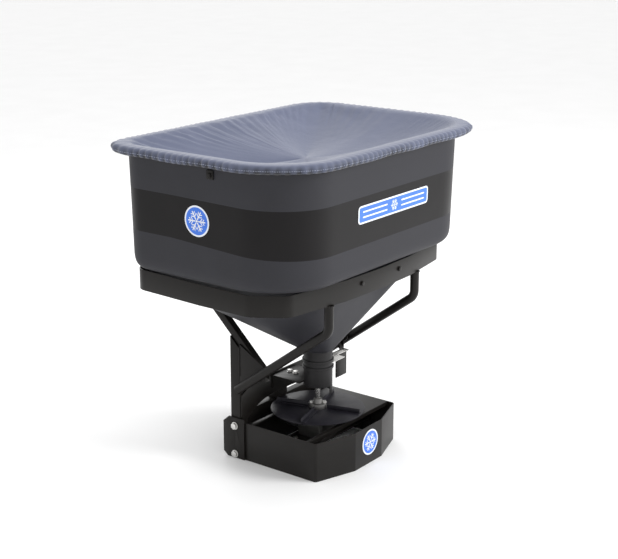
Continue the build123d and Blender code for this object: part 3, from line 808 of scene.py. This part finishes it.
boltTree, given = newTree("hexBolts", ("Head height", "Washer radius", "Washer height"))
headShape = addNode(boltTree, "GeometryNodeMeshCylinder", values={"Vertices": 6, "Radius": 1.1547},
                    links={"Depth": given.outputs["Head height"]})
washerShape = addNode(boltTree, "GeometryNodeMeshCylinder", values={"Vertices": 28},
                      links={"Radius": given.outputs["Washer radius"],
                             "Depth": given.outputs["Washer height"]})
headMiddle = addNode(boltTree, "ShaderNodeMath", {"operation": "MULTIPLY"}, {1: 0.5},
                     {0: given.outputs["Head height"]})
washerMiddle = addNode(boltTree, "ShaderNodeMath", {"operation": "MULTIPLY"}, {1: 0.5},
                       {0: given.outputs["Washer height"]})
headUp = addNode(boltTree, "ShaderNodeCombineXYZ", links={2: headMiddle.outputs[0]})
washerUp = addNode(boltTree, "ShaderNodeCombineXYZ", links={2: washerMiddle.outputs[0]})
headPlaced = addNode(boltTree, "GeometryNodeTransform",
                     links={"Geometry": headShape.outputs[0], "Translation": headUp.outputs[0]})
washerPlaced = addNode(boltTree, "GeometryNodeTransform",
                       links={"Geometry": washerShape.outputs[0], "Translation": washerUp.outputs[0]})
both = addNode(boltTree, "GeometryNodeJoinGeometry")
boltTree.links.new(headPlaced.outputs[0], both.inputs[0])
boltTree.links.new(washerPlaced.outputs[0], both.inputs[0])
aim = addNode(boltTree, "GeometryNodeInputNamedAttribute", {"data_type": "FLOAT_VECTOR"}, {"Name": "aim"})
size = addNode(boltTree, "GeometryNodeInputNamedAttribute", {"data_type": "FLOAT"}, {"Name": "size"})
turned = addNode(boltTree, "FunctionNodeAlignRotationToVector", {"axis": "Z"},
                 links={"Vector": aim.outputs[0]})
laid = addNode(boltTree, "GeometryNodeInstanceOnPoints",
               links={"Points": given.outputs["Geometry"], "Instance": both.outputs[0],
                      "Rotation": turned.outputs[0], "Scale": size.outputs[0]})
whole = addNode(boltTree, "GeometryNodeRealizeInstances", links={"Geometry": laid.outputs[0]})
coloured = addNode(boltTree, "GeometryNodeSetMaterial",
                   links={"Geometry": whole.outputs[0], "Material": given.outputs["Finish"]})
addNode(boltTree, "NodeGroupOutput", links={"Geometry": coloured.outputs[0]})

# sizes are shares of half the width across the flats
boltSettings = {"Head height": 0.86, "Washer radius": 1.32, "Washer height": 0.2}
boltPlaces = {
    "footY": 0.113,
    "footZ": (0.014, 0.110),
    "bracketY": (0.038, 0.062),
    "motor": (0.080, 0.030),
    "bandX": (-0.094, 0.107),
    "hubRadius": 0.021,
    "hubTurns": (-52.5, 127.5),
}


# seats are (place, direction the head points, half the width across the flats)
def makeBolts(name, body, slotName, material, seats, *replaced):
    start = bpy.data.meshes.new(name + "Seats")
    start.from_pydata([place for place, direction, across in seats], [], [])
    start.attributes.new("aim", "FLOAT_VECTOR", "POINT")
    start.attributes.new("size", "FLOAT", "POINT")
    for k, (place, direction, across) in enumerate(seats):
        start.attributes["aim"].data[k].vector = direction
        start.attributes["size"].data[k].value = across
    mesh = grownMesh(name, start, boltTree, {**boltSettings, "Finish": material}, edge=0.0005)
    made = addPiece(name, mesh, body, [], smoothAngle=35)
    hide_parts(*replaced)


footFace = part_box("foot_plate_right")[1][0]
footSeats = [((s * footFace, boltPlaces["footY"], z), (s, 0, 0), 0.0095)
             for s in (-1, 1) for z in boltPlaces["footZ"]]
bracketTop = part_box("neck_bracket")[1][2]
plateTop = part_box("gearbox")[0][2]
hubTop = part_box("hub_bolts")[0][2]
motorX, motorY = boltPlaces["motor"]
bracketSeats = [((0, y, bracketTop), (0, 0, 1), 0.008) for y in boltPlaces["bracketY"]]
motorSeats = [((sx * motorX, spinnerY + sy * motorY, plateTop), (0, 0, 1), 0.0065)
              for sx in (-1, 1) for sy in (-1, 1)]
makeBolts("frameBolts", "frame", "zinc_bolt", zincPlate, footSeats + bracketSeats + motorSeats,
          "foot_bolts", "bracket_bolts", "motor_bolts")
# the band's rear facets bulge 6 mm over a half width of 172 mm
bandSeats = [((x, -0.288 + 0.006 * abs(x) / 0.172, 0.626), (0, -1, 0), 0.0065) for x in boltPlaces["bandX"]]
makeBolts("bandBolts", "frame", "powder_black", powderBlack, bandSeats, "band_bolts")
hubSeats = [((boltPlaces["hubRadius"] * math.cos(math.radians(a)),
              spinnerY + boltPlaces["hubRadius"] * math.sin(math.radians(a)), hubTop),
             (0, 0, 1), 0.006) for a in boltPlaces["hubTurns"]]
makeBolts("hubBolts", "spinner", "zinc_bolt", zincPlate, hubSeats, "hub_bolts")
print("bolts made")


# vinyl badges: a snowflake on a blue ground with a white edge

badgeSettings = {
    "thick": 0.0008,
    "edge": 0.005,
    "side": {"y": 0.018, "z": 0.848, "radius": 0.046},
    "rear": {"x": 0.014, "z": 0.852, "size": (0.372, 0.054), "corner": 0.012},
    "shroud": {"x": 0.007, "z": 0.072, "radius": 0.042},
}


def roundOutline(radius, count=72):
    return [(radius * math.cos(2 * math.pi * k / count), radius * math.sin(2 * math.pi * k / count))
            for k in range(count)]


def barOutline(width, height, corner):
    return planRing(width / 2, -height / 2, height / 2, corner, corner, 6, 8)


# a closed plate between two heights, or a closed ring where it has a hole
def addPlate(shape, place, outline, low, high, materialIndex, hole=None):
    layers = [[shape.verts.new(place @ Vector((u, v, h))) for u, v in loop]
              for loop in ([outline] if hole is None else [outline, hole]) for h in (low, high)]
    count = len(outline)
    faces = []
    if hole is None:
        bottom, top = layers
        faces += [shape.faces.new(top), shape.faces.new(list(reversed(bottom)))]
        rounds = [(bottom, top)]
    else:
        bottom, top, innerBottom, innerTop = layers
        rounds = [(bottom, top), (innerTop, innerBottom), (top, innerTop), (innerBottom, bottom)]
    for a, b in rounds:
        for k in range(count):
            n = (k + 1) % count
            faces.append(shape.faces.new((a[k], a[n], b[n], b[k])))
    for face in faces:
        face.material_index = materialIndex


def addSnowflake(shape, place, radius, low, high):
    thin = radius * 0.055
    addPlate(shape, place, roundOutline(radius * 0.12, 6), low, high, 1)
    for arm in range(6):
        turned = place @ Matrix.Rotation(math.radians(60 * arm), 4, "Z")
        start, end = radius * 0.16, radius
        addPlate(shape, turned, [(start, -thin), (end, -thin), (end, thin), (start, thin)], low, high, 1)
        for reach, length in ((0.42, 0.26), (0.68, 0.2)):
            for side in (-1, 1):
                root = (radius * reach, side * thin * 1.2)
                tip = (root[0] + radius * length * 0.7, root[1] + side * radius * length)
                branch = [root, tip, (tip[0] + thin * 1.8, tip[1]), (root[0] + thin * 1.8, root[1])]
                addPlate(shape, turned, branch if side < 0 else list(reversed(branch)), low, high, 1)


def placeOn(point, outwards, up):
    across = up.cross(outwards)
    rows = Matrix((across, up, outwards)).transposed().to_4x4()
    return Matrix.Translation(point) @ rows


def makeBadge(name, place, outline, inner, flakes, bars, *replaced):
    thick = badgeSettings["thick"]
    shape = bmesh.new()
    for where in place:
        addPlate(shape, where, inner, -0.0002, thick, 0)
        addPlate(shape, where, outline, -0.0002, thick, 1, hole=inner)
        for (u, v), radius in flakes:
            spot = where @ Matrix.Translation((u, v, 0))
            addSnowflake(shape, spot, radius, thick - 0.0001, thick + 0.0004)
        for (u, v), (width, height) in bars:
            spot = where @ Matrix.Translation((u, v, 0))
            bar = barOutline(width, height, height * 0.45)
            addPlate(shape, spot, bar, thick - 0.0001, thick + 0.0004, 1)
    bmesh.ops.recalc_face_normals(shape, faces=shape.faces)
    mesh = bpy.data.meshes.new(name)
    shape.to_mesh(mesh)
    shape.free()
    made = addPiece(name, mesh, "frame", [blueVinyl, whiteVinyl])
    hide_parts(*replaced)


rim, foot = tubSettings["rim"], tubSettings["wallFoot"]
side, rear, shroudMark = badgeSettings["side"], badgeSettings["rear"], badgeSettings["shroud"]
edge = badgeSettings["edge"]
sideLean = math.atan((rim[0] - foot[0]) / (rim[5] - foot[5]))
rearLean = math.atan((foot[1] - rim[1]) / (rim[5] - foot[5]))
sideX = foot[0] + math.tan(sideLean) * (side["z"] - foot[5])
rearY = foot[1] - math.tan(rearLean) * (rear["z"] - foot[5])
sidePlaces = [placeOn(Vector((s * sideX, side["y"], side["z"])),
                      Vector((s * math.cos(sideLean), 0, -math.sin(sideLean))),
                      Vector((s * math.sin(sideLean), 0, math.cos(sideLean)))) for s in (-1, 1)]
rearPlace = placeOn(Vector((rear["x"], rearY, rear["z"])),
                    Vector((0, -math.cos(rearLean), -math.sin(rearLean))),
                    Vector((0, -math.sin(rearLean), math.cos(rearLean))))
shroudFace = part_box("shroud")[0][1]
shroudPlace = placeOn(Vector((shroudMark["x"], shroudFace, shroudMark["z"])), Vector((0, -1, 0)),
                      Vector((0, 0, 1)))
makeBadge("sideBadges", sidePlaces, roundOutline(side["radius"]), roundOutline(side["radius"] - edge),
          [((0, 0), side["radius"] * 0.7)], [], "side_badge")
width, height = rear["size"]
makeBadge("rearBadge", [rearPlace], barOutline(width, height, rear["corner"]),
          barOutline(width - 2 * edge, height - 2 * edge, rear["corner"] - edge),
          [((0, 0), height * 0.33)], [((s * width * 0.27, v), (width * 0.34, 0.0045))
                                      for s in (-1, 1) for v in (-0.008, 0.008)], "rear_badge")
makeBadge("shroudBadge", [shroudPlace], roundOutline(shroudMark["radius"]),
          roundOutline(shroudMark["radius"] - edge),
          [((0, 0), shroudMark["radius"] * 0.7)], [], "shroud_badge")
print("badges made")
